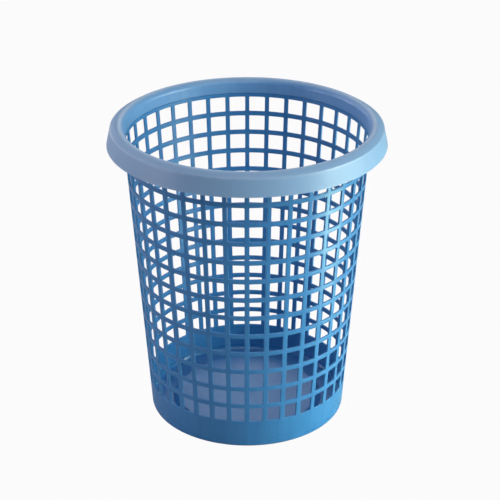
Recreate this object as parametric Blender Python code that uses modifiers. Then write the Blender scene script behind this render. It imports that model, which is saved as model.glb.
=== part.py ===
"""Round office wastebasket: a tapered lattice basket and the bag ring that drops onto its mouth.

Both pieces are thin polypropylene mouldings, so both are modelled as open surfaces that Solidify
gives a wall. The basket stands on the floor plane z = 0, centred on the Z axis, and a vertical bar
of its lattice faces -Y. Lengths are in metres and angles in radians.
"""

import math

import bmesh
import bpy

# ---- Driving dimensions ------------------------------------------------------------------------

HEIGHT = 0.300              # floor to the top of the bag ring
FOOT_RADIUS = 0.0964        # outside of the wall, where it would meet the floor
MOUTH_RADIUS = 0.1179       # outside of the wall, where it would meet the top plane
WALL = 0.0018               # moulded wall of both pieces

COLUMNS = 36                # openings round the basket
ROWS = 13                   # openings up the basket
ROW_PITCH = 0.01974
OPENINGS_TOP = 0.2818       # top edge of the highest openings
RAIL_HEIGHT = 0.0045        # horizontal bar between two rows
BAR_WIDTH_FOOT = 0.0048     # vertical bar, at the floor
BAR_WIDTH_MOUTH = 0.0042    # vertical bar, at the top plane

FOOT_FILLET = 0.0028        # outside corner between the wall and the foot
FOOT_INNER_RADIUS = 0.0755  # inner edge of the standing ring
PANEL_RADIUS = 0.0705       # edge of the raised floor panel, on its underside
PANEL_LIFT = 0.0040         # underside of the floor panel above the foot

LEDGE_BOTTOM = 0.2836       # underside of the ledge that the ring's inner leg stands on
SOCKET_TOP = 0.2925         # top edge of the basket
FIT_GAP = 0.0004            # clearance all round the ring's inner leg

LIP_RADIUS = 0.0060         # round between the leg and the top of the ring
TOP_SLOPE = math.radians(31.5)
SHOULDER_RADIUS = 0.1293    # corner between the top of the ring and its skirt
SHOULDER_HEIGHT = 0.2964
SKIRT_RADIUS = 0.1329       # outside of the skirt's lower edge
SKIRT_BOTTOM = 0.2800
RING_STEPS = 72             # facets round the ring

TURN = 2 * math.pi
TOUCHING = 1e-6             # distance under which two points are one

COLLECTION_NAME = "wastebasket"


def wall_outside(z):
    """Outside radius of the tapered wall at height z."""
    return FOOT_RADIUS + (MOUTH_RADIUS - FOOT_RADIUS) * z / HEIGHT


def wall_inside(z):
    """Inside radius of the tapered wall at height z."""
    return wall_outside(z) - WALL


def arc(centre, radius, start, end, pieces):
    """Points of an arc in the (radius, height) plane, both ends included."""
    angles = [start + (end - start) * i / pieces for i in range(pieces + 1)]
    return [(centre[0] + radius * math.cos(a), centre[1] + radius * math.sin(a)) for a in angles]


# ---- The lattice basket ------------------------------------------------------------------------


def bar_half_angle(radius, z):
    """Half the angle that a vertical bar takes up at height z of the lattice."""
    width = BAR_WIDTH_FOOT + (BAR_WIDTH_MOUTH - BAR_WIDTH_FOOT) * z / HEIGHT
    return width / (2 * radius)


def socket_profile():
    """The top edge, which stands out from the wall on a ledge, so that the ring's leg fits inside."""
    step_out = WALL + FIT_GAP
    return [
        (wall_outside(SOCKET_TOP) + step_out, SOCKET_TOP),
        (wall_outside(LEDGE_BOTTOM) + step_out, LEDGE_BOTTOM),
        (wall_outside(LEDGE_BOTTOM), LEDGE_BOTTOM),
    ]


def lattice_heights():
    """Top and bottom edge of every row of openings, from the highest row down."""
    heights = []
    for row in range(ROWS):
        top = OPENINGS_TOP - row * ROW_PITCH
        heights += [top, top - (ROW_PITCH - RAIL_HEIGHT)]
    return heights


def foot_profile():
    """The corner, the standing ring and the raised panel, down to the middle of the floor."""
    centre = (wall_outside(FOOT_FILLET) - FOOT_FILLET, FOOT_FILLET)
    corner = arc(centre, FOOT_FILLET, 0, -TURN / 4, 3)
    panel = [(FOOT_INNER_RADIUS, 0), (PANEL_RADIUS, PANEL_LIFT), (0, PANEL_LIFT)]
    return corner + panel


def make_basket(material):
    """Lays the wall and floor out as a flat grid, wraps it round the axis and opens the lattice."""
    socket = socket_profile()
    heights = lattice_heights()
    profile = socket + [(wall_outside(z), z) for z in heights] + foot_profile()
    first_open = len(socket)
    last_open = first_open + len(heights) - 1
    lowest = heights[-1]

    strips = 2 * COLUMNS
    levels = len(profile) - 1
    mesh = bmesh.new()
    bmesh.ops.create_grid(mesh, x_segments=strips, y_segments=levels, size=1)

    def grid_place(co):
        """Column and level of a point of the flat grid, which runs from -1 to 1 each way."""
        return (co.x + 1) / 2 * strips, (1 - co.y) / 2 * levels

    def is_opening(face):
        column, level = (math.floor(value) for value in grid_place(face.calc_center_median()))
        in_lattice = first_open <= level < last_open
        return in_lattice and (level - first_open) % 2 == 0 and column % 2 == 1

    openings = [face for face in mesh.faces if is_opening(face)]
    bmesh.ops.delete(mesh, geom=openings, context="FACES")

    for vertex in mesh.verts:
        column, level = (round(value) for value in grid_place(vertex.co))
        radius, z = profile[level]
        reference = max(z, lowest)
        half = bar_half_angle(wall_outside(reference), reference)
        bar = column // 2
        side = half if column % 2 else -half
        angle = TURN * bar / COLUMNS + side
        vertex.co = (radius * math.sin(angle), -radius * math.cos(angle), z)
    bmesh.ops.remove_doubles(mesh, verts=mesh.verts, dist=TOUCHING)

    return finish_shell("lattice_basket", mesh, material)


# ---- The bag ring ------------------------------------------------------------------------------


def ring_profile():
    """The ring's seen surface, from the foot of its inner leg over the top to the skirt's edge."""
    leg_bottom = LEDGE_BOTTOM + WALL + FIT_GAP
    lip_height = HEIGHT - LIP_RADIUS
    lip_centre = (wall_inside(lip_height) + LIP_RADIUS, lip_height)
    lip = arc(lip_centre, LIP_RADIUS, TURN / 2, TURN / 4 - TOP_SLOPE, 5)
    shoulder = (SHOULDER_RADIUS, SHOULDER_HEIGHT)
    return [(wall_inside(leg_bottom), leg_bottom), *lip, shoulder, (SKIRT_RADIUS, SKIRT_BOTTOM)]


def make_ring(material):
    """Spins the ring's profile round the axis."""
    mesh = bmesh.new()
    vertices = [mesh.verts.new((radius, 0, z)) for radius, z in ring_profile()]
    edges = [mesh.edges.new(pair) for pair in zip(vertices, vertices[1:])]
    bmesh.ops.spin(
        mesh,
        geom=vertices + edges,
        cent=(0, 0, 0),
        axis=(0, 0, 1),
        angle=TURN,
        steps=RING_STEPS,
        use_merge=True,
    )
    bmesh.ops.remove_doubles(mesh, verts=mesh.verts, dist=TOUCHING)
    return finish_shell("bag_ring", mesh, material)


# ---- Shared steps ------------------------------------------------------------------------------


def finish_shell(name, mesh, material):
    """Turns an open surface into an object whose wall lies behind that surface."""
    data = bpy.data.meshes.new(name)
    mesh.to_mesh(data)
    mesh.free()
    data.shade_smooth()
    data.set_sharp_from_angle(angle=math.radians(30))
    data.materials.append(material)
    shell = bpy.data.objects.new(name, data)
    bpy.data.collections[COLLECTION_NAME].objects.link(shell)
    solidify = shell.modifiers.new("wall", "SOLIDIFY")
    solidify.thickness = WALL
    solidify.offset = -1
    solidify.use_even_offset = True
    return shell


def plastic(name, colour, roughness):
    """Coloured polypropylene."""
    material = bpy.data.materials.new(name)
    material.use_nodes = True
    surface = material.node_tree.nodes["Principled BSDF"]
    surface.inputs["Base Color"].default_value = (*colour, 1)
    surface.inputs["Roughness"].default_value = roughness
    surface.inputs["Metallic"].default_value = 0
    return material


def main():
    for old in list(bpy.data.objects):
        bpy.data.objects.remove(old)
    bpy.context.scene.collection.children.link(bpy.data.collections.new(COLLECTION_NAME))
    make_basket(plastic("basket_blue", (0.03, 0.18, 0.45), 0.32))
    make_ring(plastic("ring_blue", (0.19, 0.33, 0.56), 0.36))


main()
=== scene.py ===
"""A round polypropylene wastebasket: lattice basket and lift-off bag ring, in a plain white studio."""

import math

import bmesh
import bpy
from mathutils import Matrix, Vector


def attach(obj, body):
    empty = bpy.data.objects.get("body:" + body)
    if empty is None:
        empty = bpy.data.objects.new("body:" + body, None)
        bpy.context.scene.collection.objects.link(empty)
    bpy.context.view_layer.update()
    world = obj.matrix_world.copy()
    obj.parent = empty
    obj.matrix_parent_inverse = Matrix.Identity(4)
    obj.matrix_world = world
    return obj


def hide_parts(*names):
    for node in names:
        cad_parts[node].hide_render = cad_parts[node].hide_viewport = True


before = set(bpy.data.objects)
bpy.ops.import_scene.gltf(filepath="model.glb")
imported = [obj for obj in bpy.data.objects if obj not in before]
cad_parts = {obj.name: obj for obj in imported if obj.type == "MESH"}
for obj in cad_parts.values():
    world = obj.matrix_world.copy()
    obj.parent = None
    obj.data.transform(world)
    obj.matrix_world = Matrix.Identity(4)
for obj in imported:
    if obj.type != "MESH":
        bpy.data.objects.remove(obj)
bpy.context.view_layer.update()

scene = bpy.context.scene
TURN = 2 * math.pi
MM = 0.001


# ---- Camera -------------------------------------------------------------------------------------
# A long lens about a metre and a half away, looking down at the basket at 26 degrees, so that the
# open mouth, the floor and both sides of the lattice show at once.

CAMERA_DISTANCE = 1.5597
CAMERA_DOWN = math.radians(25.886)
CAMERA_TARGET = Vector((0.0028, 0, 0.1651))
SENSOR_WIDTH = 36
LENS = 114.74

camera = bpy.data.objects.new("camera", bpy.data.cameras.new("camera"))
camera.data.sensor_width = SENSOR_WIDTH
camera.data.lens = LENS
to_camera = Vector((0, -math.cos(CAMERA_DOWN), math.sin(CAMERA_DOWN)))
camera.location = CAMERA_TARGET + CAMERA_DISTANCE * to_camera
camera.rotation_euler = (math.pi / 2 - CAMERA_DOWN, 0, 0)
scene.collection.objects.link(camera)
scene.camera = camera


# ---- Lattice wall of the basket -----------------------------------------------------------------
# The wall of the basket is an injection-moulded polypropylene lattice, 1.8 mm thick, with 36 openings
# round and 13 up. One flat cell, the frame round one opening, is repeated over the unrolled wall and
# rolled up into the cone by Geometry Nodes. The basket's plastic is made here too.

FOOT_RADIUS = 0.0964
MOUTH_RADIUS = 0.1179
HEIGHT = 0.300
WALL = 1.8 * MM
COLUMNS = 36
ROWS = 13
ROW_PITCH = 0.01974
RAIL_HEIGHT = 4.5 * MM
OPENINGS_TOP = 0.2818
BAR_WIDTH_FOOT = 4.8 * MM
BAR_WIDTH_MOUTH = 4.2 * MM
OPENING_CORNER = 0.7 * MM
EDGE_ROUND = 0.22 * MM
LATTICE_TOP = 0.2829
TOUCHING = 1e-5


def wall_outside(z):
    """Outside radius of the tapered wall at height z."""
    return FOOT_RADIUS + (MOUTH_RADIUS - FOOT_RADIUS) * z / HEIGHT


def opening_half_width(z):
    """Half an opening at height z, as a share of one column."""
    bar = BAR_WIDTH_FOOT + (BAR_WIDTH_MOUTH - BAR_WIDTH_FOOT) * z / HEIGHT
    return 0.5 - bar * COLUMNS / (2 * TURN * wall_outside(z))


MEAN_HEIGHT = 0.155
FLAT_HALF = opening_half_width(MEAN_HEIGHT)
COLUMN_LENGTH = TURN * wall_outside(MEAN_HEIGHT) / COLUMNS


def opening_outline(growth):
    """16 points round an opening grown by that much, in columns across and metres up."""
    half_up = (ROW_PITCH - RAIL_HEIGHT) / 2 + growth
    half_across = FLAT_HALF * COLUMN_LENGTH + growth
    radius = OPENING_CORNER + growth
    slant = radius * (1 - math.sqrt(0.5))
    points = []
    for quarter in range(4):
        across, up = (half_across, half_up) if quarter % 2 == 0 else (half_up, half_across)
        for x, y in (
            (across, 0),
            (across, up - radius),
            (across - slant, up - slant),
            (across - radius, up),
        ):
            for _ in range(quarter):
                x, y = -y, x
            points.append((x / COLUMN_LENGTH, y))
    return points


def cell_outline():
    """The 16 points of the cell's own edge that face the points of the opening."""
    outline = []
    for index, (x, y) in enumerate(opening_outline(0)):
        side = (index + 1) // 4 % 4
        corner = index % 4 == 2
        if corner or side % 2 == 0:
            x = math.copysign(0.5, x)
        if corner or side % 2 == 1:
            y = math.copysign(ROW_PITCH / 2, y)
        outline.append((x, y))
    return outline


def opening_cell():
    """The flat frame round one opening: five bands, from its outer face round to its inner face."""
    rings = (
        (cell_outline(), 0, 0),
        (opening_outline(EDGE_ROUND), 0, 1),
        (opening_outline(0), EDGE_ROUND, 1),
        (opening_outline(0), WALL - EDGE_ROUND, 1),
        (opening_outline(EDGE_ROUND), WALL, 1),
        (cell_outline(), WALL, 0),
    )
    cell = bmesh.new()
    opening_edge = cell.verts.layers.float.new("opening_edge")
    loops = []
    for outline, depth, edge in rings:
        loops.append([cell.verts.new((x, y, -depth)) for x, y in outline])
        for vertex in loops[-1]:
            vertex[opening_edge] = edge
    for outer, inner in zip(loops, loops[1:]):
        for i in range(len(outer)):
            j = (i + 1) % len(outer)
            cell.faces.new((outer[i], outer[j], inner[j], inner[i]))
    mesh = bpy.data.meshes.new("opening_cell")
    cell.to_mesh(mesh)
    cell.free()
    return mesh


class Tree:
    """A short way to fill a node tree: add a node, set its inputs and link them in one call."""

    def __init__(self, tree):
        self.tree = tree

    def link(self, source, target):
        self.tree.links.new(source, target)

    def add(self, kind, inputs=None, **settings):
        """A new node, with its settings and with values or links in its inputs."""
        node = self.tree.nodes.new(kind)
        for key, value in settings.items():
            setattr(node, key, value)
        for key, value in (inputs or {}).items():
            if isinstance(value, bpy.types.NodeSocket):
                self.link(value, node.inputs[key])
            else:
                node.inputs[key].default_value = value
        return node

    def math(self, operation, *values):
        """The result of a Math node."""
        return self.add("ShaderNodeMath", dict(enumerate(values)), operation=operation).outputs[0]

    def remap(self, value, from_min, from_max, to_min, to_max):
        """The value carried from one range to another, and held at its ends."""
        limits = {"From Min": from_min, "From Max": from_max, "To Min": to_min, "To Max": to_max}
        return self.add("ShaderNodeMapRange", {"Value": value, **limits}).outputs["Result"]


class Group(Tree):
    """A node group with named inputs and outputs."""

    def __init__(self, name, kind, inputs, outputs):
        super().__init__(bpy.data.node_groups.new(name, kind))
        for socket_name, socket_type, value in inputs:
            socket = self.tree.interface.new_socket(socket_name, in_out="INPUT", socket_type=socket_type)
            if value is not None:
                socket.default_value = value
        for socket_name, socket_type in outputs:
            self.tree.interface.new_socket(socket_name, in_out="OUTPUT", socket_type=socket_type)
        self.given = self.tree.nodes.new("NodeGroupInput").outputs
        self.result = self.tree.nodes.new("NodeGroupOutput").inputs


FLOAT, VECTOR, COLOUR = "NodeSocketFloat", "NodeSocketVector", "NodeSocketColor"


def lattice_tree():
    """Repeats the flat cell over the unrolled wall and rolls it up into the cone."""
    lattice = Group(
        "lattice_wall",
        "GeometryNodeTree",
        inputs=(
            ("Cell", "NodeSocketGeometry", None),
            ("Columns", "NodeSocketInt", COLUMNS),
            ("Rows", "NodeSocketInt", ROWS),
            ("Row Pitch", FLOAT, ROW_PITCH),
            ("Lowest Row", FLOAT, 0.0),
            ("Top", FLOAT, LATTICE_TOP),
            ("Foot Radius", FLOAT, FOOT_RADIUS),
            ("Mouth Radius", FLOAT, MOUTH_RADIUS),
            ("Height", FLOAT, HEIGHT),
            ("Bar Width at Foot", FLOAT, BAR_WIDTH_FOOT),
            ("Bar Width at Mouth", FLOAT, BAR_WIDTH_MOUTH),
            ("Flat Opening Half Width", FLOAT, FLAT_HALF),
            ("Material", "NodeSocketMaterial", None),
        ),
        outputs=(("Wall", "NodeSocketGeometry"),),
    )
    given = lattice.given

    # The flat wall: one cell on each point of a grid, one unit a column and one pitch a row.
    last_column = lattice.math("SUBTRACT", given["Columns"], 1)
    last_row = lattice.math("SUBTRACT", given["Rows"], 1)
    rows_up = lattice.math("MULTIPLY", last_row, given["Row Pitch"])
    grid = lattice.add(
        "GeometryNodeMeshGrid",
        {
            "Size X": last_column,
            "Size Y": rows_up,
            "Vertices X": given["Columns"],
            "Vertices Y": given["Rows"],
        },
    )
    middle_row = lattice.math("MULTIPLY_ADD", rows_up, 0.5, given["Lowest Row"])
    middle_column = lattice.math("MULTIPLY", given["Columns"], 0.5)
    corner = lattice.add("ShaderNodeCombineXYZ", {"X": middle_column, "Y": middle_row})
    flat = lattice.add(
        "GeometryNodeTransform",
        {"Geometry": grid.outputs["Mesh"], "Translation": corner.outputs["Vector"]},
    )
    cells = lattice.add(
        "GeometryNodeInstanceOnPoints",
        {"Points": flat.outputs["Geometry"], "Instance": given["Cell"]},
    )
    real = lattice.add("GeometryNodeRealizeInstances", {"Geometry": cells.outputs["Instances"]})

    # Height, radius and column of each point of the flat wall.
    position = lattice.add("GeometryNodeInputPosition")
    split = lattice.add("ShaderNodeSeparateXYZ", {"Vector": position.outputs["Position"]})
    x, y, depth = (split.outputs[axis] for axis in "XYZ")
    height = lattice.math("MINIMUM", y, given["Top"])
    top = given["Height"]
    outside = lattice.remap(height, 0.0, top, given["Foot Radius"], given["Mouth Radius"])
    bar = lattice.remap(height, 0.0, top, given["Bar Width at Foot"], given["Bar Width at Mouth"])
    column = lattice.math("FLOOR", x)
    across = lattice.math("SUBTRACT", lattice.math("SUBTRACT", x, column), 0.5)

    # Within a column the opening is narrowed or widened so that the bar keeps its own width.
    circumference = lattice.math("MULTIPLY", outside, TURN)
    bar_share = lattice.math("DIVIDE", lattice.math("MULTIPLY", bar, given["Columns"]), circumference)
    half = lattice.math("SUBTRACT", 0.5, lattice.math("MULTIPLY", bar_share, 0.5))
    distance = lattice.math("ABSOLUTE", across)
    flat_half = given["Flat Opening Half Width"]
    half_bar = lattice.math("SUBTRACT", 0.5, half)
    inside_opening = lattice.remap(distance, 0.0, flat_half, 0.0, half)
    past_edge = lattice.remap(distance, flat_half, 0.5, 0.0, half_bar)
    new_distance = lattice.math("ADD", inside_opening, past_edge)
    moved = lattice.math("MULTIPLY", new_distance, lattice.math("SIGN", across))
    columns_round = lattice.math("ADD", lattice.math("ADD", column, 0.5), moved)
    angle = lattice.math("DIVIDE", lattice.math("MULTIPLY", columns_round, TURN), given["Columns"])

    # The flat wall rolled up, with a bar at the front.
    radius = lattice.math("ADD", outside, depth)
    to_front = lattice.math("MULTIPLY", radius, -1.0)
    place = lattice.add(
        "ShaderNodeCombineXYZ",
        {
            "X": lattice.math("MULTIPLY", radius, lattice.math("SINE", angle)),
            "Y": lattice.math("MULTIPLY", to_front, lattice.math("COSINE", angle)),
            "Z": height,
        },
    )
    rolled = lattice.add(
        "GeometryNodeSetPosition",
        {"Geometry": real.outputs["Geometry"], "Position": place.outputs["Vector"]},
    )
    merged = lattice.add(
        "GeometryNodeMergeByDistance",
        {"Geometry": rolled.outputs["Geometry"], "Distance": TOUCHING},
    )
    coloured = lattice.add(
        "GeometryNodeSetMaterial",
        {"Geometry": merged.outputs["Geometry"], "Material": given["Material"]},
    )
    lattice.link(coloured.outputs["Geometry"], lattice.result["Wall"])
    return lattice.tree


def noise(tree, position, size, detail=2.0, roughness=0.5):
    """Cloudy values round a half, with clouds about that size in metres."""
    scale = tree.math("DIVIDE", 1.0, size)
    inputs = {"Vector": position, "Scale": scale, "Detail": detail, "Roughness": roughness}
    return tree.add("ShaderNodeTexNoise", inputs).outputs["Fac"]


def stretched(tree, position, along_wall):
    """The position squeezed up the wall, so that a pattern on it runs long in that direction."""
    inputs = {0: position, 1: (1, 1, along_wall)}
    return tree.add("ShaderNodeVectorMath", inputs, operation="MULTIPLY").outputs["Vector"]


def mixed(tree, share, first, second):
    """A colour between two others."""
    factor, colour_a, colour_b, result = 0, 6, 7, 2
    inputs = {factor: share, colour_a: first, colour_b: second}
    return tree.add("ShaderNodeMix", inputs, data_type="RGBA").outputs[result]


def moulded_skin():
    """The orange peel of a moulded face, and the shallow waves where the plastic flowed and shrank."""
    skin = Group(
        "moulded_skin",
        "ShaderNodeTree",
        inputs=(
            ("Position", VECTOR, None),
            ("Peel Size", FLOAT, 1.6 * MM),
            ("Peel Depth", FLOAT, 0.004 * MM),
            ("Wave Size", FLOAT, 12 * MM),
            ("Wave Depth", FLOAT, 0.05 * MM),
        ),
        outputs=(("Height", FLOAT),),
    )
    given = skin.given
    peel = skin.math("SUBTRACT", noise(skin, given["Position"], given["Peel Size"]), 0.5)
    peel_height = skin.math("MULTIPLY", peel, given["Peel Depth"])
    flow = stretched(skin, given["Position"], along_wall=0.4)
    wave = skin.math("SUBTRACT", noise(skin, flow, given["Wave Size"], detail=1.0), 0.5)
    height = skin.math("MULTIPLY_ADD", wave, given["Wave Depth"], peel_height)
    skin.link(height, skin.result["Height"])
    return skin.tree


def gloss_drift():
    """Roughness that drifts in patches, where the mould's polish and handling differ."""
    gloss = Group(
        "gloss_drift",
        "ShaderNodeTree",
        inputs=(
            ("Position", VECTOR, None),
            ("Glossiest", FLOAT, 0.285),
            ("Dullest", FLOAT, 0.37),
            ("Patch Size", FLOAT, 22 * MM),
        ),
        outputs=(("Roughness", FLOAT),),
    )
    given = gloss.given
    patch = noise(gloss, given["Position"], given["Patch Size"], detail=4.0, roughness=0.6)
    roughness = gloss.remap(patch, 0.3, 0.7, given["Glossiest"], given["Dullest"])
    gloss.link(roughness, gloss.result["Roughness"])
    return gloss.tree


def colour_drift():
    """The pigment's uneven mixing: long faint streaks and soft clouds of a second tone."""
    drift = Group(
        "colour_drift",
        "ShaderNodeTree",
        inputs=(
            ("Position", VECTOR, None),
            ("Colour", COLOUR, None),
            ("Second Tone", COLOUR, None),
            ("Streak Size", FLOAT, 5 * MM),
            ("Cloud Size", FLOAT, 45 * MM),
        ),
        outputs=(("Colour", COLOUR),),
    )
    given = drift.given
    long_way = stretched(drift, given["Position"], along_wall=0.12)
    streaks = noise(drift, long_way, given["Streak Size"], detail=3.0)
    clouds = noise(drift, given["Position"], given["Cloud Size"])
    share = drift.remap(drift.math("ADD", streaks, clouds), 0.75, 1.25, 0.0, 1.0)
    drift.link(mixed(drift, share, given["Colour"], given["Second Tone"]), drift.result["Colour"])
    return drift.tree


def hairline_scuffs():
    """Thin curved hairlines in patches, from stacking and from years of being pushed about."""
    scuffs = Group(
        "hairline_scuffs",
        "ShaderNodeTree",
        inputs=(
            ("Position", VECTOR, None),
            ("Spacing", FLOAT, 14 * MM),
            ("Patch Size", FLOAT, 30 * MM),
            ("Line Width", FLOAT, 0.006),
        ),
        outputs=(("Mask", FLOAT),),
    )
    given = scuffs.given
    swept = scuffs.add(
        "ShaderNodeMapping",
        {"Vector": given["Position"], "Rotation": (0.5, 0.9, 0.3), "Scale": (1, 1, 0.25)},
    )
    path = noise(scuffs, swept.outputs["Vector"], given["Spacing"], detail=1.0)
    from_line = scuffs.math("ABSOLUTE", scuffs.math("SUBTRACT", path, 0.5))
    line = scuffs.remap(from_line, 0.0, given["Line Width"], 1.0, 0.0)
    patches = noise(scuffs, given["Position"], given["Patch Size"], detail=3.0)
    patch = scuffs.remap(patches, 0.48, 0.62, 0.0, 1.0)
    scuffs.link(scuffs.math("MULTIPLY", line, patch), scuffs.result["Mask"])
    return scuffs.tree


def settled_dust():
    """Fine pale dust, thickest on what faces up and broken into small clumps."""
    dust = Group(
        "settled_dust",
        "ShaderNodeTree",
        inputs=(
            ("Position", VECTOR, None),
            ("Amount", FLOAT, 0.2),
            ("Clump Size", FLOAT, 3 * MM),
        ),
        outputs=(("Mask", FLOAT),),
    )
    given = dust.given
    facing = dust.add("ShaderNodeNewGeometry").outputs["Normal"]
    upward = dust.add("ShaderNodeSeparateXYZ", {"Vector": facing}).outputs["Z"]
    level = dust.remap(upward, 0.25, 1.0, 0.0, 1.0)
    fine = noise(dust, given["Position"], given["Clump Size"], detail=5.0, roughness=0.65)
    clumps = dust.remap(fine, 0.3, 0.7, 0.4, 1.0)
    settled = dust.math("MULTIPLY", level, clumps)
    dust.link(dust.math("MULTIPLY", settled, given["Amount"]), dust.result["Mask"])
    return dust.tree


def worn_edge():
    """Where an edge is rubbed pale and carries a painted highlight: a mask that follows the edge and
    breaks up along it.
    """
    wear_and_highlight = Group(
        "worn_edge",
        "ShaderNodeTree",
        inputs=(
            ("Position", VECTOR, None),
            ("Edge", FLOAT, 0.0),
            ("Amount", FLOAT, 0.5),
            ("Break Size", FLOAT, 9 * MM),
        ),
        outputs=(("Mask", FLOAT),),
    )
    given = wear_and_highlight.given
    along = noise(wear_and_highlight, given["Position"], given["Break Size"], detail=4.0, roughness=0.6)
    breaks = wear_and_highlight.remap(along, 0.35, 0.65, 0.3, 1.0)
    rubbed = wear_and_highlight.math("MULTIPLY", given["Edge"], breaks)
    wear_and_highlight.link(wear_and_highlight.math("MULTIPLY", rubbed, given["Amount"]), wear_and_highlight.result["Mask"])
    return wear_and_highlight.tree


def near_circle():
    """A mask that fades out from a level circle round the basket's axis."""
    near = Group(
        "near_circle",
        "ShaderNodeTree",
        inputs=(
            ("Position", VECTOR, None),
            ("Radius", FLOAT, 0.1),
            ("Height", FLOAT, 0.0),
            ("Reach", FLOAT, 2 * MM),
        ),
        outputs=(("Mask", FLOAT),),
    )
    given = near.given
    split = near.add("ShaderNodeSeparateXYZ", {"Vector": given["Position"]}).outputs
    across = near.add("ShaderNodeCombineXYZ", {"X": split["X"], "Y": split["Y"]}).outputs["Vector"]
    radius = near.add("ShaderNodeVectorMath", {0: across}, operation="LENGTH").outputs["Value"]
    here = near.add("ShaderNodeCombineXYZ", {"X": radius, "Z": split["Z"]}).outputs["Vector"]
    circle = near.add("ShaderNodeCombineXYZ", {"X": given["Radius"], "Z": given["Height"]})
    ends = {0: here, 1: circle.outputs["Vector"]}
    distance = near.add("ShaderNodeVectorMath", ends, operation="DISTANCE").outputs["Value"]
    near.link(near.remap(distance, 0.0, given["Reach"], 1.0, 0.0), near.result["Mask"])
    return near.tree


skin_group = moulded_skin()
gloss_group = gloss_drift()
colour_group = colour_drift()
scuff_group = hairline_scuffs()
dust_group = settled_dust()
wear_and_highlight_group = worn_edge()
circle_group = near_circle()

BASKET_BLUE = (0.031, 0.177, 0.445, 1)
BASKET_STREAK = (0.039, 0.202, 0.482, 1)
BASKET_RUBBED_AND_HIGHLIT = (0.09, 0.30, 0.58, 1)
DUST_GREY = (0.42, 0.44, 0.46, 1)
DUST_AMOUNT = 0.06
SCUFF_SHARE = 0.07
SCUFF_ROUGHER = 0.04
PLASTIC_IOR = 1.49
BASKET_GLOSSIEST = 0.285
BASKET_DULLEST = 0.37
BASKET_WEAR_AND_HIGHLIGHT = 0.1
BASKET_DUST_ROUGHER = 0.5
EDGE_NARROWING = 6.0
OPENING_EDGE_ROUGHER = 0.3
FLOOR_CORNER_RADIUS = 94 * MM
FLOOR_CORNER_HEIGHT = 3 * MM
FLOOR_CORNER_REACH = 5 * MM
FLOOR_CORNER_POLISH = 0.27


def effect(tree, group, output, **inputs):
    """Places a node group in a tree; the keywords name its inputs, with _ for a space."""
    named = {key.replace("_", " ").title(): value for key, value in inputs.items()}
    node = tree.tree.nodes.new("ShaderNodeGroup")
    node.node_tree = group
    for key, value in named.items():
        if isinstance(value, bpy.types.NodeSocket):
            tree.link(value, node.inputs[key])
        else:
            node.inputs[key].default_value = value
    return node.outputs[output]


def rubbed_highlit_and_dusty(tree, colour, wear_and_highlight, scuffs, dust, pale_wear_and_highlight_colour):
    """The plastic's colour, paler where it is worn or scuffed and along edges with a painted highlight,
    under the dust.
    """
    paler = tree.math("MAXIMUM", wear_and_highlight, tree.math("MULTIPLY", scuffs, SCUFF_SHARE))
    return mixed(tree, dust, mixed(tree, paler, colour, pale_wear_and_highlight_colour), DUST_GREY)


def feed_plastic(tree, colour, rough, height):
    """Feeds the Principled shader of a plastic."""
    bump = tree.add("ShaderNodeBump", {"Height": height, "Distance": 1.0, "Strength": 1.0})
    plastic = tree.tree.nodes["Principled BSDF"]
    plastic.inputs["IOR"].default_value = PLASTIC_IOR
    tree.link(colour, plastic.inputs["Base Color"])
    tree.link(rough, plastic.inputs["Roughness"])
    tree.link(bump.outputs["Normal"], plastic.inputs["Normal"])


basket_plastic = bpy.data.materials.new("basket_polypropylene")
basket_plastic.use_nodes = True
finish = Tree(basket_plastic.node_tree)
place = finish.add("ShaderNodeTexCoord").outputs["Object"]
edge = finish.add("ShaderNodeAttribute", attribute_name="opening_edge").outputs["Fac"]
edge = finish.math("POWER", edge, EDGE_NARROWING)
dust = effect(finish, dust_group, "Mask", position=place, amount=DUST_AMOUNT)
scuffs = effect(finish, scuff_group, "Mask", position=place)
# The paler colour on the rounded opening edges is partly wear and partly a painted highlight where the
# edges catch the light.
wear_and_highlight = effect(finish, wear_and_highlight_group, "Mask", position=place, edge=edge, amount=BASKET_WEAR_AND_HIGHLIGHT)
colour = effect(
    finish, colour_group, "Colour", position=place, colour=BASKET_BLUE, second_tone=BASKET_STREAK
)
colour = rubbed_highlit_and_dusty(finish, colour, wear_and_highlight, scuffs, dust, BASKET_RUBBED_AND_HIGHLIT)
gloss = effect(
    finish, gloss_group, "Roughness", position=place, glossiest=BASKET_GLOSSIEST, dullest=BASKET_DULLEST
)
corner = effect(
    finish,
    circle_group,
    "Mask",
    position=place,
    radius=FLOOR_CORNER_RADIUS,
    height=FLOOR_CORNER_HEIGHT,
    reach=FLOOR_CORNER_REACH,
)
rough = finish.math("MULTIPLY_ADD", corner, -FLOOR_CORNER_POLISH, gloss)
rough = finish.math("MULTIPLY_ADD", scuffs, SCUFF_ROUGHER, rough)
rough = finish.math("MULTIPLY_ADD", dust, BASKET_DUST_ROUGHER, rough)
rough = finish.math("MULTIPLY_ADD", edge, OPENING_EDGE_ROUGHER, rough)
feed_plastic(finish, colour, rough, effect(finish, skin_group, "Height", position=place))

flat_cell = bpy.data.objects.new("flat_cell", opening_cell())
scene.collection.objects.link(flat_cell)
repeat = flat_cell.modifiers.new("lattice", "NODES")
repeat.node_group = lattice_tree()
lowest_row = OPENINGS_TOP - (ROW_PITCH - RAIL_HEIGHT) / 2 - (ROWS - 1) * ROW_PITCH
for item in repeat.node_group.interface.items_tree:
    if item.in_out == "INPUT" and item.name == "Lowest Row":
        repeat[item.identifier] = lowest_row
    if item.in_out == "INPUT" and item.name == "Material":
        repeat[item.identifier] = basket_plastic
wall = flat_cell.evaluated_get(bpy.context.evaluated_depsgraph_get())
wall_mesh = bpy.data.meshes.new_from_object(wall)
bpy.data.objects.remove(flat_cell)


# ---- Foot, floor and socket of the basket -------------------------------------------------------
# The same moulding goes on below the lattice as a plain band that turns under into the ring it
# stands on, with a raised floor panel and the well of the moulding gate inside it, and above the
# lattice as a ledge and a socket for the bag ring. Each is drawn out of the lattice's open edge.

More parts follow.
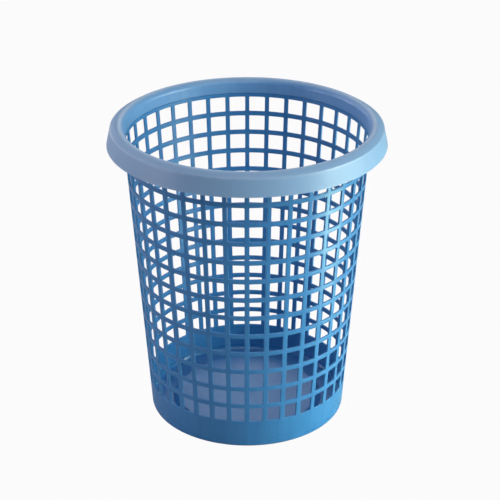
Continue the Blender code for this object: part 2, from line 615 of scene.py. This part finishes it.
BAND_MIDDLE = 0.015
FOOT_FILLET = 2.8 * MM
INSIDE_FILLET = 3.4 * MM
FOOT_MIDDLE_RADIUS = 0.085
FOOT_INNER_RADIUS = 0.0755
PANEL_RADIUS = 0.0705
PANEL_MIDDLE_RADIUS = 0.035
PANEL_LIFT = 4.0 * MM
PANEL_FILLET = 1.5 * MM
STEP_SHIFT = 0.6 * MM
LEDGE_BOTTOM = 0.2836
SOCKET_TOP = 0.2925
FIT_GAP = 0.4 * MM
GATE_PAD_RADIUS = 9 * MM
GATE_WELL_RADIUS = 7 * MM
GATE_WELL_DEPTH = 0.7 * MM
GATE_WELL_DRAFT = 0.5 * MM
GATE_STUB_RADIUS = 1.8 * MM
BASKET_SHARP = math.radians(50)


def arc(centre, radius, start, end, pieces):
    """Points of an arc in the (radius, height) plane, both ends included; angles in degrees."""
    angles = [math.radians(start + (end - start) * i / pieces) for i in range(pieces + 1)]
    return [(centre[0] + radius * math.cos(a), centre[1] + radius * math.sin(a)) for a in angles]


def rounded(corner, before, after, radius, pieces):
    """Points of a fillet at a corner of a profile, between the lines to the points round it."""
    corner, before, after = Vector(corner), Vector(before), Vector(after)
    back, on = (before - corner).normalized(), (after - corner).normalized()
    half = back.angle(on) / 2
    centre = corner + (back + on).normalized() * radius / math.sin(half)
    first = corner + back * radius / math.tan(half) - centre
    last = corner + on * radius / math.tan(half) - centre
    turn = first.angle_signed(last)
    points = []
    for i in range(pieces + 1):
        a = -turn * i / pieces
        x = first.x * math.cos(a) - first.y * math.sin(a)
        y = first.x * math.sin(a) + first.y * math.cos(a)
        points.append((centre.x + x, centre.y + y))
    return points


def edge_loops(mesh):
    """The open edge loops, as lists of edges in the mesh's order, lowest and outermost first."""
    mesh.edges.index_update()
    left = {edge for edge in mesh.edges if edge.is_boundary}
    loops = []
    while left:
        loop, front = [], [left.pop()]
        while front:
            edge = front.pop()
            loop.append(edge)
            near = {other for vertex in edge.verts for other in vertex.link_edges} & left
            left -= near
            front += near
        loops.append(sorted(loop, key=lambda edge: edge.index))

    def place(loop):
        vertex = loop[0].verts[0].co
        return round(vertex.z, 4), -vertex.xy.length

    return sorted(loops, key=place)


def draw_out(mesh, loop, profile):
    """Draws an open loop out through the (radius, height) points of a profile; radius 0 closes it."""
    for radius, height in profile:
        # A new face runs along its edge the other way round from the face already there.
        corners = [edge.link_loops[0] for edge in loop]
        sides = [(corner.link_loop_next.vert, corner.vert) for corner in corners]
        if radius == 0:
            middle = mesh.verts.new((0, 0, height))
            for start, end in sides:
                mesh.faces.new((start, end, middle))
            return
        made = {}
        for start, end in sides:
            direction = start.co.xy.normalized()
            made[start] = mesh.verts.new((direction.x * radius, direction.y * radius, height))
        faces = [mesh.faces.new((start, end, made[end], made[start])) for start, end in sides]
        loop = [face.edges[2] for face in faces]


def even_out(piece):
    """Keeps wide faces flat and lets only the small roundings between them turn the light."""
    weighted = piece.modifiers.new("even_faces", "WEIGHTED_NORMAL")
    weighted.keep_sharp = True
    evaluated = piece.evaluated_get(bpy.context.evaluated_depsgraph_get())
    piece.data = bpy.data.meshes.new_from_object(evaluated)
    piece.modifiers.remove(weighted)


body = bmesh.new()
body.from_mesh(wall_mesh)
foot_outer, foot_inner, mouth_outer, mouth_inner = edge_loops(body)

foot_corner = (wall_outside(FOOT_FILLET) - FOOT_FILLET, FOOT_FILLET)
well_top = PANEL_LIFT + GATE_WELL_DEPTH
underside = [
    (wall_outside(BAND_MIDDLE), BAND_MIDDLE),
    *arc(foot_corner, FOOT_FILLET, 0, -90, 6),
    (FOOT_MIDDLE_RADIUS, 0),
    (FOOT_INNER_RADIUS, 0),
    (PANEL_RADIUS, PANEL_LIFT),
    (PANEL_MIDDLE_RADIUS, PANEL_LIFT),
    (GATE_WELL_RADIUS, PANEL_LIFT),
    (GATE_WELL_RADIUS - GATE_WELL_DRAFT, well_top),
    (GATE_STUB_RADIUS, well_top),
    (GATE_STUB_RADIUS, PANEL_LIFT),
    (0, PANEL_LIFT),
]
draw_out(body, foot_outer, underside)

floor_top = PANEL_LIFT + WALL
corner_height = WALL + INSIDE_FILLET
inside_corner = (wall_outside(corner_height) - corner_height, corner_height)
floor_ring = (FOOT_MIDDLE_RADIUS, WALL)
step_foot = (FOOT_INNER_RADIUS - STEP_SHIFT, WALL)
step_top = (PANEL_RADIUS - STEP_SHIFT, floor_top)
floor_middle = (0, floor_top)
inside = [
    (wall_outside(BAND_MIDDLE) - WALL, BAND_MIDDLE),
    *arc(inside_corner, INSIDE_FILLET, 0, -90, 10),
    floor_ring,
    *rounded(step_foot, floor_ring, step_top, PANEL_FILLET, 4),
    *rounded(step_top, step_foot, floor_middle, PANEL_FILLET, 4),
    (PANEL_MIDDLE_RADIUS, floor_top),
    (GATE_PAD_RADIUS, floor_top),
    (GATE_WELL_RADIUS, floor_top + GATE_WELL_DEPTH),
    (0, floor_top + GATE_WELL_DEPTH),
]
draw_out(body, foot_inner, inside)

socket_out = WALL + FIT_GAP
ledge_top = LEDGE_BOTTOM + WALL
socket = [
    (wall_outside(LEDGE_BOTTOM), LEDGE_BOTTOM),
    (wall_outside(LEDGE_BOTTOM) + socket_out, LEDGE_BOTTOM),
    (wall_outside(SOCKET_TOP) + socket_out, SOCKET_TOP),
    (wall_outside(SOCKET_TOP) + FIT_GAP, SOCKET_TOP),
    (wall_outside(ledge_top) + FIT_GAP, ledge_top),
    (wall_outside(ledge_top) - WALL, ledge_top),
    (wall_outside(LATTICE_TOP) - WALL, LATTICE_TOP),
]
draw_out(body, mouth_outer, socket)
bmesh.ops.remove_doubles(body, verts=body.verts, dist=TOUCHING)

basket_mesh = bpy.data.meshes.new("basket_moulding")
body.to_mesh(basket_mesh)
body.free()
basket_mesh.shade_smooth()
basket_mesh.set_sharp_from_angle(angle=BASKET_SHARP)
basket_mesh.materials.clear()
basket_mesh.materials.append(basket_plastic)
basket = bpy.data.objects.new("basket_moulding", basket_mesh)
scene.collection.objects.link(basket)
even_out(basket)
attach(basket, "basket")
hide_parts("lattice_basket")


# ---- Bag ring -----------------------------------------------------------------------------------
# A separate moulding in a greyer polypropylene, dropped over the mouth: its inner leg stands in the
# basket's socket, and its rolled top and flared skirt cover the edge of the bag.

LIP_RADIUS = 6.0 * MM
TOP_SLOPE = 31.5
SHOULDER = Vector((0.1293, 0.2964))
SHOULDER_FILLET = 1.5 * MM
SKIRT_RADIUS = 0.1329
SKIRT_BOTTOM = 0.2800
RING_STEPS = 180
RING_SHARP = math.radians(30)
SATIN_START = 3
SATIN_FADE = 4

RING_BLUE = (0.105, 0.268, 0.56, 1)
RING_STREAK = (0.13, 0.30, 0.59, 1)
RING_SATIN_SHEEN = (0.195, 0.335, 0.56, 1)
RING_RUBBED_AND_HIGHLIT = (0.33, 0.46, 0.66, 1)
RING_GLOSSIEST = 0.285
RING_DULLEST = 0.35
RING_WEAR_AND_HIGHLIGHT = 0.5
RING_DUST_ROUGHER = 0.4
RING_SCUFF_SPACING = 18 * MM
RING_WAVE_SIZE = 16 * MM
RING_WAVE_DEPTH = 0.06 * MM
RING_EDGE_SMOOTHER = 0.16
SATIN_ROUGHER = 0.13
SHOULDER_WEAR_AND_HIGHLIGHT_REACH = 2.2 * MM
SKIRT_WEAR_REACH = 1.2 * MM

leg_bottom = ledge_top + FIT_GAP
lip_height = HEIGHT - LIP_RADIUS
lip_centre = (wall_outside(lip_height) - WALL + LIP_RADIUS, lip_height)


def inset(points, distance):
    """The profile moved to its right by a distance, each point along the middle of its two normals."""
    moved = []
    for i, point in enumerate(points):
        here = Vector(point)
        before = here - Vector(points[i - 1]) if i else Vector(points[1]) - here
        after = Vector(points[i + 1]) - here if i + 1 < len(points) else before
        before, after = before.normalized(), after.normalized()
        normal = Vector((before.y + after.y, -before.x - after.x)).normalized()
        reach = distance / max(0.5, normal.dot(Vector((before.y, -before.x))))
        moved.append(tuple(here + normal * reach))
    return moved


lip = arc(lip_centre, LIP_RADIUS, 180, 90 - TOP_SLOPE, 12)
skirt_edge = (SKIRT_RADIUS, SKIRT_BOTTOM)
shoulder = rounded(SHOULDER, lip[-1], skirt_edge, SHOULDER_FILLET, 5)
leg_foot = (wall_outside(leg_bottom) - WALL, leg_bottom)
outer = [leg_foot, *lip, *shoulder, skirt_edge]
inner = inset(outer, WALL)
section = outer + inner[::-1]

# The satin share marks the top and outside of the ring: rougher there, and painted a greyer sheen.
lip_satin = [min(1, max(0, (i - SATIN_START) / SATIN_FADE)) for i in range(len(lip))]
satin_share = [0, *lip_satin, *(1 for _ in shoulder), 1, *(0 for _ in inner)]

turned = bmesh.new()
satin_layer = turned.verts.layers.float.new("satin")
rings = []
for step in range(RING_STEPS):
    a = TURN * step / RING_STEPS
    rings.append([turned.verts.new((r * math.sin(a), -r * math.cos(a), z)) for r, z in section])
    for vertex, share in zip(rings[-1], satin_share):
        vertex[satin_layer] = share
for step in range(RING_STEPS):
    here, there = rings[step], rings[(step + 1) % RING_STEPS]
    for i in range(len(section)):
        j = (i + 1) % len(section)
        turned.faces.new((here[i], here[j], there[j], there[i]))
bmesh.ops.recalc_face_normals(turned, faces=turned.faces)
ring_mesh = bpy.data.meshes.new("bag_ring_moulding")
turned.to_mesh(ring_mesh)
turned.free()
ring_mesh.shade_smooth()
ring_mesh.set_sharp_from_angle(angle=RING_SHARP)


ring_plastic = bpy.data.materials.new("ring_polypropylene")
ring_plastic.use_nodes = True
finish = Tree(ring_plastic.node_tree)
place = finish.add("ShaderNodeTexCoord").outputs["Object"]
satin = finish.add("ShaderNodeAttribute", attribute_name="satin").outputs["Fac"]
# Along the shoulder the paler colour is a painted highlight line as well as wear; along the skirt's
# lower edge it is wear.
shoulder_line = effect(
    finish,
    circle_group,
    "Mask",
    position=place,
    radius=SHOULDER.x,
    height=SHOULDER.y,
    reach=SHOULDER_WEAR_AND_HIGHLIGHT_REACH,
)
skirt_line = effect(
    finish,
    circle_group,
    "Mask",
    position=place,
    radius=SKIRT_RADIUS,
    height=SKIRT_BOTTOM,
    reach=SKIRT_WEAR_REACH,
)
edge = finish.math("MAXIMUM", shoulder_line, skirt_line)
dust = effect(finish, dust_group, "Mask", position=place, amount=DUST_AMOUNT)
scuffs = effect(finish, scuff_group, "Mask", position=place, spacing=RING_SCUFF_SPACING)
wear_and_highlight = effect(finish, wear_and_highlight_group, "Mask", position=place, edge=edge, amount=RING_WEAR_AND_HIGHLIGHT)
colour = effect(
    finish, colour_group, "Colour", position=place, colour=RING_BLUE, second_tone=RING_STREAK
)
# The greyer tone on the ring's top and outside is a painted sheen where those faces catch the light; the
# inner leg keeps the plain blue.
colour = mixed(finish, satin, colour, RING_SATIN_SHEEN)
colour = rubbed_highlit_and_dusty(finish, colour, wear_and_highlight, scuffs, dust, RING_RUBBED_AND_HIGHLIT)
rough = effect(
    finish, gloss_group, "Roughness", position=place, glossiest=RING_GLOSSIEST, dullest=RING_DULLEST
)
rough = finish.math("MULTIPLY_ADD", satin, SATIN_ROUGHER, rough)
rough = finish.math("MULTIPLY_ADD", edge, -RING_EDGE_SMOOTHER, rough)
rough = finish.math("MULTIPLY_ADD", scuffs, SCUFF_ROUGHER, rough)
rough = finish.math("MULTIPLY_ADD", dust, RING_DUST_ROUGHER, rough)
height = effect(
    finish,
    skin_group,
    "Height",
    position=place,
    wave_size=RING_WAVE_SIZE,
    wave_depth=RING_WAVE_DEPTH,
)
feed_plastic(finish, colour, rough, height)
ring_mesh.materials.append(ring_plastic)
ring = bpy.data.objects.new("bag_ring_moulding", ring_mesh)
scene.collection.objects.link(ring)
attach(ring, "ring")
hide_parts("bag_ring")


# ---- Studio -------------------------------------------------------------------------------------
# White paper that runs out of sight, in a dark room with a dozen round softboxes, some of them
# faintly tinted, and a small card close by at the right. To the camera the paper and the room are
# evenly lit white; the basket sees only the softboxes, the card and the paper.

BACKGROUND = (0.974, 0.966, 0.974, 1)
PAPER_GREY = (0.42, 0.42, 0.42, 1)
PAPER_ROUGHNESS = 0.9
FLOOR_HEIGHT = -0.2 * MM
FLOOR_HALF = 8
FLOOR_BACK = 12
GREENISH = (0.88, 1, 0.84)
PINKISH = (1, 0.92, 0.97)
FAINT_PINK = (1, 0.93, 1)
CARD_GREEN = (0.7, 1, 0.7)

floor_mesh = bpy.data.meshes.new("studio_floor")
floor_mesh.from_pydata(
    [
        (-FLOOR_HALF, -FLOOR_HALF, FLOOR_HEIGHT),
        (FLOOR_HALF, -FLOOR_HALF, FLOOR_HEIGHT),
        (FLOOR_HALF, FLOOR_BACK, FLOOR_HEIGHT),
        (-FLOOR_HALF, FLOOR_BACK, FLOOR_HEIGHT),
    ],
    [],
    [(0, 1, 2, 3)],
)
studio_floor = bpy.data.objects.new("studio_floor", floor_mesh)
scene.collection.objects.link(studio_floor)

paper = bpy.data.materials.new("white_paper")
paper.use_nodes = True
nodes, links = paper.node_tree.nodes, paper.node_tree.links
matt = nodes["Principled BSDF"]
matt.inputs["Base Color"].default_value = PAPER_GREY
matt.inputs["Roughness"].default_value = PAPER_ROUGHNESS
lit = nodes.new("ShaderNodeEmission")
lit.inputs["Color"].default_value = BACKGROUND
seen = nodes.new("ShaderNodeLightPath")
either = nodes.new("ShaderNodeMixShader")
links.new(seen.outputs["Is Camera Ray"], either.inputs["Fac"])
links.new(matt.outputs["BSDF"], either.inputs[1])
links.new(lit.outputs["Emission"], either.inputs[2])
links.new(either.outputs["Shader"], nodes["Material Output"].inputs["Surface"])
floor_mesh.materials.append(paper)

room = bpy.data.worlds.new("studio_room")
room.use_nodes = True
nodes, links = room.node_tree.nodes, room.node_tree.links
backdrop = nodes["Background"]
backdrop.inputs["Color"].default_value = BACKGROUND
seen = nodes.new("ShaderNodeLightPath")
links.new(seen.outputs["Is Camera Ray"], backdrop.inputs["Strength"])
scene.world = room


def softbox(name, azimuth, elevation, power, distance=2.0, size=1.0, aim=0.18, colour=(1, 1, 1)):
    """A round softbox facing the basket's axis at the aimed height; degrees, round from the front."""
    azimuth, elevation = math.radians(azimuth), math.radians(elevation)
    level = Vector((math.sin(azimuth), -math.cos(azimuth), 0))
    direction = level * math.cos(elevation) + Vector((0, 0, math.sin(elevation)))
    light = bpy.data.lights.new(name, "AREA")
    light.shape = "DISK"
    light.size = size
    light.energy = power
    light.color = colour
    lamp = bpy.data.objects.new(name, light)
    lamp.location = Vector((0, 0, aim)) + distance * direction
    lamp.rotation_euler = direction.to_track_quat("Z", "Y").to_euler()
    lamp.visible_camera = False
    scene.collection.objects.link(lamp)


softbox("key_right", 70, 8, 31.0, colour=GREENISH)
softbox("right_low", 90, 8, 15.0, colour=GREENISH)
softbox("front_right_low", 25, 8, 2.2)
softbox("front_right_high", 45, 50, 8.2)
softbox("front_high", 0, 50, 7.4)
softbox("front_left_fill", -72, 7, 9.0, colour=PINKISH)
softbox("left_low", -108, 14, 10.0, colour=FAINT_PINK)
softbox("back_left_low", -140, 8, 4.5)
softbox("back_left_high", -135, 50, 5.5)
softbox("back_middle", 180, 24, 6.5)
softbox("back_high", 180, 50, 3.5)
softbox("overhead", 0, 90, 3.4)
softbox("card_right", 78, 3, 0.75, distance=0.38, size=0.16, aim=0.03, colour=CARD_GREEN)

scene.view_settings.view_transform = "Standard"
